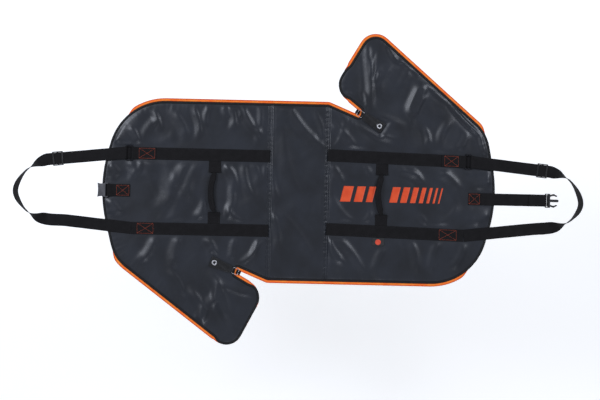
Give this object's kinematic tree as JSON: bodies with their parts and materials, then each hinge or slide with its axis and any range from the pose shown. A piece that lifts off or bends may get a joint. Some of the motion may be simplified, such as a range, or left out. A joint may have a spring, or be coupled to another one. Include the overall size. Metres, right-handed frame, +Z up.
{
  "type": "fold-flat carry bag",
  "caption": "Zip-open tool bag laid out flat: base panel, two side panels with end gussets, webbing loops, grab handles and a closing strap.",
  "frame": {"origin": "centre of the base panel's underside, the face that lies on the ground when the bag is opened out flat", "axes": "+X from the base panel out over the right side panel, +Y along the two fold seams, +Z up out of the bag's outer face"},
  "size_m": [1.8961, 1.0495, 0.041],
  "materials": {
    "coated_fabric": "semi-gloss coated woven polyester over thin foam",
    "lining_fabric": "matte woven polyester",
    "piping_fabric": "woven binding tape over a cord",
    "zip_tape": "woven polyester zip tape with a moulded coil",
    "webbing": "woven polypropylene webbing",
    "black_plastic": "moulded acetal",
    "grey_plastic": "moulded acetal",
    "black_metal": "black lacquered steel and zinc",
    "nickel": "nickel plated steel",
    "woven_label": "folded woven tape"
  },
  "bodies": {
    "base": {"base_lining": "lining_fabric", "base_shell": "coated_fabric", "base_piping_front": "piping_fabric", "base_piping_back": "piping_fabric", "base_zip_tape_front": "zip_tape", "base_zip_tape_back": "zip_tape"},
    "right_side": {"right_side_lining": "lining_fabric", "right_side_shell": "coated_fabric", "right_end_piping": "piping_fabric", "right_notch_piping": "piping_fabric", "right_hem_zip_tape": "zip_tape", "right_shoulder_zip_tape": "zip_tape", "right_notch_zip_tape": "zip_tape", "right_ring_strap": "webbing", "right_plain_strap": "webbing", "right_handle_tab_ring_side": "webbing", "right_handle_tab_plain_side": "webbing", "closing_strap_anchor": "webbing", "label_tab": "woven_label"},
    "right_gusset": {"right_gusset_lining": "lining_fabric", "right_gusset_shell": "coated_fabric", "right_gusset_piping": "piping_fabric", "right_gusset_zip_tape": "zip_tape"},
    "right_loop": {"right_ring": "black_metal", "right_loop_webbing": "webbing"},
    "right_adjuster": {"right_adjuster": "black_plastic"},
    "right_handle": {"right_handle_grip": "webbing"},
    "right_slider": {"right_zip_slider": "black_metal"},
    "right_pull": {"right_pull_link": "nickel", "right_pull_tab": "webbing", "right_pull_eyelet": "nickel"},
    "left_side": {"left_side_lining": "lining_fabric", "left_side_shell": "coated_fabric", "left_end_piping": "piping_fabric", "left_notch_piping": "piping_fabric", "left_hem_zip_tape": "zip_tape", "left_shoulder_zip_tape": "zip_tape", "left_notch_zip_tape": "zip_tape", "left_ring_strap": "webbing", "left_plain_strap": "webbing", "left_handle_tab_ring_side": "webbing", "left_handle_tab_plain_side": "webbing", "buckle_strap_tab": "webbing"},
    "left_gusset": {"left_gusset_lining": "lining_fabric", "left_gusset_shell": "coated_fabric", "left_gusset_piping": "piping_fabric", "left_gusset_zip_tape": "zip_tape"},
    "left_loop": {"left_ring": "black_metal", "left_loop_webbing": "webbing"},
    "left_adjuster": {"left_adjuster": "black_plastic"},
    "left_handle": {"left_handle_grip": "webbing"},
    "left_slider": {"left_zip_slider": "black_metal"},
    "left_pull": {"left_pull_link": "nickel", "left_pull_tab": "webbing", "left_pull_eyelet": "nickel"},
    "closing_strap": {"closing_strap": "webbing"},
    "male_buckle": {"male_buckle": "black_plastic"},
    "male_arm_back": {"male_buckle_arm_back": "black_plastic"},
    "male_arm_front": {"male_buckle_arm_front": "black_plastic"},
    "female_buckle": {"female_buckle": "grey_plastic"}
  },
  "joints": [
    {"name": "right_side_fold", "type": "hinge", "parent": "base", "child": "right_side", "pos_m": [0.096, 0, 0], "axis": [0, 1, 0], "range_deg": [0, 98]},
    {"name": "right_gusset_fold", "type": "hinge", "parent": "right_side", "child": "right_gusset", "pos_m": [0.33, 0.312, 0], "axis": [-1, 0, 0], "range_deg": [0, 90]},
    {"name": "right_loop_lift", "type": "hinge", "parent": "right_side", "child": "right_loop", "pos_m": [0.5535, 0, 0.0089], "axis": [0, -1, 0], "range_deg": [0, 150]},
    {"name": "right_adjuster_slide", "type": "slide", "parent": "right_loop", "child": "right_adjuster", "axis": [-0.9948, 0.1018, 0], "range_m": [0, 0.085]},
    {"name": "right_handle_flop", "type": "hinge", "parent": "right_side", "child": "right_handle", "pos_m": [0.2785, -0.00179, 0.0113], "axis": [0, 1, 0], "range_deg": [-18, 145]},
    {"name": "right_zip_slide", "type": "slide", "parent": "right_side", "child": "right_slider", "axis": [-0.9241, 0.3821, 0], "range_m": [0, 0.08]},
    {"name": "right_pull_swing", "type": "hinge", "parent": "right_slider", "child": "right_pull", "pos_m": [0.19316, 0.27165, 0.0081], "axis": [-0.5299, -0.848, 0], "range_deg": [0, 165]},
    {"name": "left_side_fold", "type": "hinge", "parent": "base", "child": "left_side", "pos_m": [-0.096, 0, 0], "axis": [0, -1, 0], "range_deg": [0, 98]},
    {"name": "left_gusset_fold", "type": "hinge", "parent": "left_side", "child": "left_gusset", "pos_m": [-0.33, -0.312, 0], "axis": [1, 0, 0], "range_deg": [0, 90]},
    {"name": "left_loop_lift", "type": "hinge", "parent": "left_side", "child": "left_loop", "pos_m": [-0.5535, 0, 0.0089], "axis": [0, 1, 0], "range_deg": [0, 150]},
    {"name": "left_adjuster_slide", "type": "slide", "parent": "left_loop", "child": "left_adjuster", "axis": [0.9944, 0.1055, 0], "range_m": [0, 0.075]},
    {"name": "left_handle_flop", "type": "hinge", "parent": "left_side", "child": "left_handle", "pos_m": [-0.2785, -0.006, 0.0113], "axis": [0, 1, 0], "range_deg": [-18, 145]},
    {"name": "left_zip_slide", "type": "slide", "parent": "left_side", "child": "left_slider", "axis": [0.9241, -0.3821, 0], "range_m": [0, 0.08]},
    {"name": "left_pull_swing", "type": "hinge", "parent": "left_slider", "child": "left_pull", "pos_m": [-0.19271, -0.27081, 0.0081], "axis": [0.3581, 0.9337, 0], "range_deg": [0, 165]},
    {"name": "closing_strap_lift", "type": "hinge", "parent": "right_side", "child": "closing_strap", "pos_m": [0.608, -0.009, 0.0065], "axis": [0, -1, 0], "range_deg": [0, 150]},
    {"name": "male_buckle_pivot", "type": "hinge", "parent": "closing_strap", "child": "male_buckle", "pos_m": [0.824, -0.009, 0.004], "axis": [0, -1, 0], "range_deg": [-60, 90]},
    {"name": "male_arm_back_flex", "type": "hinge", "parent": "male_buckle", "child": "male_arm_back", "pos_m": [0.8408, 0.007, 0.004], "axis": [0, 0, -1], "range_deg": [0, 8], "stiffness_Nm_per_rad": 1.4},
    {"name": "male_arm_front_flex", "type": "hinge", "parent": "male_buckle", "child": "male_arm_front", "pos_m": [0.8408, -0.025, 0.004], "axis": [0, 0, 1], "range_deg": [0, 8], "stiffness_Nm_per_rad": 1.4},
    {"name": "female_buckle_pivot", "type": "hinge", "parent": "left_side", "child": "female_buckle", "pos_m": [-0.633, -0.006, 0.011], "axis": [0, 1, 0], "range_deg": [0, 100]}
  ]
}
